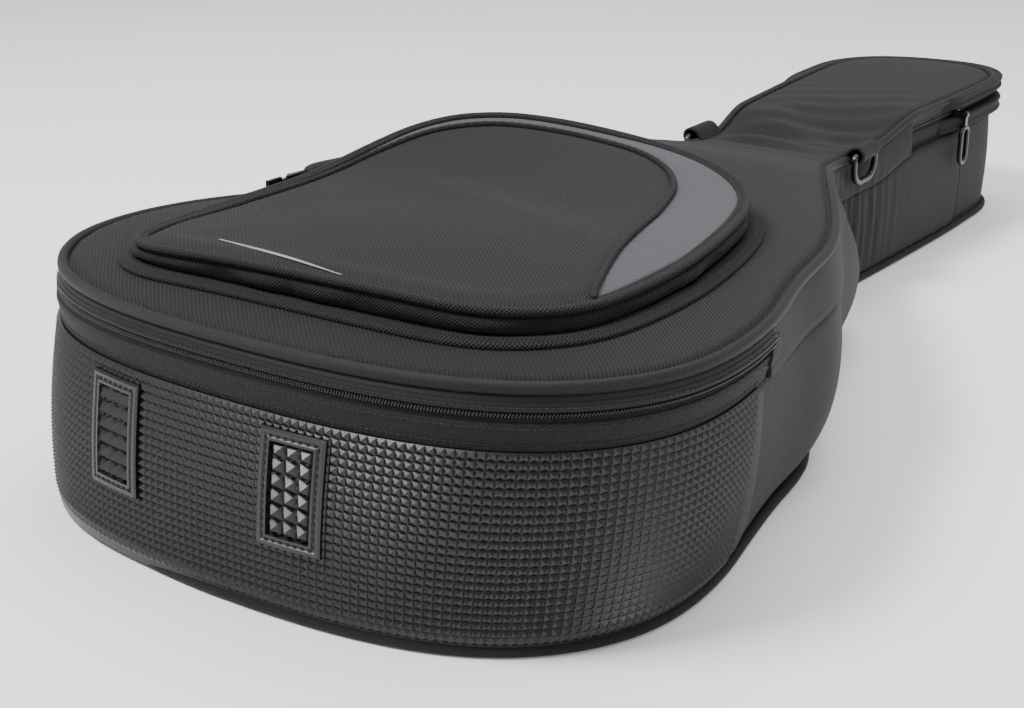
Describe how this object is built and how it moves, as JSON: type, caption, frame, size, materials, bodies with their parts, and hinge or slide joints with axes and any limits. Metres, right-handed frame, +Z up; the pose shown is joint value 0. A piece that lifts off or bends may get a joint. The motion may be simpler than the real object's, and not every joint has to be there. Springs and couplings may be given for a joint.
{
  "type": "padded gig bag",
  "caption": "Padded soft case for an acoustic guitar, lying on its back, with a hinged lid, a front accessory pocket, a studded end bumper, a carry handle and strap rings.",
  "frame": {"origin": "on the floor under the middle of the bag's box: half way between its sides and half way between its ends", "axes": "+Z up out of the lid, +Y from the lower bout towards the headstock, +X to the hinge side"},
  "size_m": [0.4441, 1.0967, 0.1912],
  "materials": {
    "shell_cloth": "black diagonal-weave nylon",
    "binding_cloth": "black woven binding",
    "piping_cloth": "black smooth piping",
    "accent_cloth": "dark grey weave",
    "gusset_cloth": "black coarse weave",
    "lining_cloth": "soft brushed lining",
    "bumper_rubber": "moulded, matt",
    "zip_tape": "zip tape",
    "zip_coil": "nylon coil",
    "webbing": "ribbed webbing",
    "ring_metal": "black gloss",
    "slider_metal": "black",
    "puller_rubber": "moulded",
    "foam_cloth": "cloth over foam"
  },
  "bodies": {
    "base": {"back_panel": "shell_cloth", "back_piping": "piping_cloth", "lining_back": "lining_cloth", "gusset_bottom": "shell_cloth", "gusset_right_bout": "shell_cloth", "gusset_left_bout": "shell_cloth", "gusset_right_neck": "shell_cloth", "gusset_left_neck": "shell_cloth", "gusset_headstock": "shell_cloth", "end_bumper": "bumper_rubber", "bumper_foot_left": "bumper_rubber", "bumper_foot_right": "bumper_rubber", "seam_binding_right": "binding_cloth", "seam_binding_left": "binding_cloth", "base_binding": "binding_cloth", "base_zip_tape": "zip_tape", "base_zip_coil": "zip_coil", "hinge_strip": "shell_cloth", "headstock_rim": "piping_cloth", "neck_panel_right": "shell_cloth", "neck_panel_left": "shell_cloth", "zip_end_tab": "binding_cloth", "end_pad": "foam_cloth", "neck_rest": "foam_cloth", "headstock_pad": "foam_cloth", "handle_anchor_front": "webbing", "handle_anchor_rear": "webbing"},
    "lid": {"lid_panel": "shell_cloth", "lining_lid": "lining_cloth", "lid_piping": "piping_cloth", "lid_lip_band": "binding_cloth", "lid_zip_tape": "zip_tape", "lid_zip_coil": "zip_coil", "headstock_lid_roll": "piping_cloth", "pocket_flange": "gusset_cloth", "pocket_gusset": "gusset_cloth", "pocket_zip_lower": "zip_tape", "d_ring_tab_left": "webbing", "d_ring_tab_right": "webbing"},
    "pocket_cover": {"pocket_top_panel": "shell_cloth", "pocket_accent_panel": "accent_cloth", "pocket_inner_piping": "piping_cloth", "pocket_rim_piping": "piping_cloth", "pocket_zip_upper": "zip_tape"},
    "ring_left": {"d_ring_left": "ring_metal"},
    "ring_right": {"d_ring_right": "ring_metal"},
    "handle": {"handle_strap": "webbing", "handle_grip": "foam_cloth"},
    "slider": {"main_slider": "slider_metal"},
    "puller": {"main_puller": "puller_rubber"},
    "pocket_slider_body": {"pocket_slider": "slider_metal"},
    "pocket_puller_body": {"pocket_puller": "puller_rubber"},
    "strap": {"neck_strap": "webbing"}
  },
  "joints": [
    {"name": "lid_hinge", "type": "hinge", "parent": "base", "child": "lid", "pos_m": [0.1732, -0.03958, 0.137], "axis": [-0.158, 0.9874, 0], "range_deg": [0, 110]},
    {"name": "pocket_cover_hinge", "type": "hinge", "parent": "lid", "child": "pocket_cover", "pos_m": [0, -0.14258, 0.1655], "axis": [-1, 0, 0], "range_deg": [0, 75]},
    {"name": "ring_left_swing", "type": "hinge", "parent": "lid", "child": "ring_left", "pos_m": [-0.07788, 0.14642, 0.1234], "axis": [0, 1, 0], "range_deg": [0, 150]},
    {"name": "ring_right_swing", "type": "hinge", "parent": "lid", "child": "ring_right", "pos_m": [0.07788, 0.14642, 0.1234], "axis": [0, -1, 0], "range_deg": [0, 150]},
    {"name": "handle_swing", "type": "hinge", "parent": "base", "child": "handle", "pos_m": [-0.20022, -0.19859, 0.104], "axis": [-0.2492, -0.9685, 0], "range_deg": [0, 85]},
    {"name": "slider_travel", "type": "slide", "parent": "base", "child": "slider", "axis": [0.03, 0.964, 0.2642], "range_m": [0, 0.008]},
    {"name": "puller_swing", "type": "hinge", "parent": "slider", "child": "puller", "pos_m": [0.09512, 0.36242, 0.119], "axis": [0, -1, 0], "range_deg": [0, 120]},
    {"name": "pocket_slider_travel", "type": "slide", "parent": "lid", "child": "pocket_slider_body", "axis": [0.1094, 0.994, 0], "range_m": [-0.012, 0]},
    {"name": "pocket_puller_swing", "type": "hinge", "parent": "pocket_slider_body", "child": "pocket_puller_body", "pos_m": [-0.16552, -0.30358, 0.165], "axis": [0, 0, 1], "range_deg": [-80, 0]},
    {"name": "neck_strap_turn", "type": "hinge", "parent": "base", "child": "strap", "pos_m": [-0.054, 0.18042, 0.067], "axis": [0, -1, 0], "range_deg": [0, 24]}
  ]
}
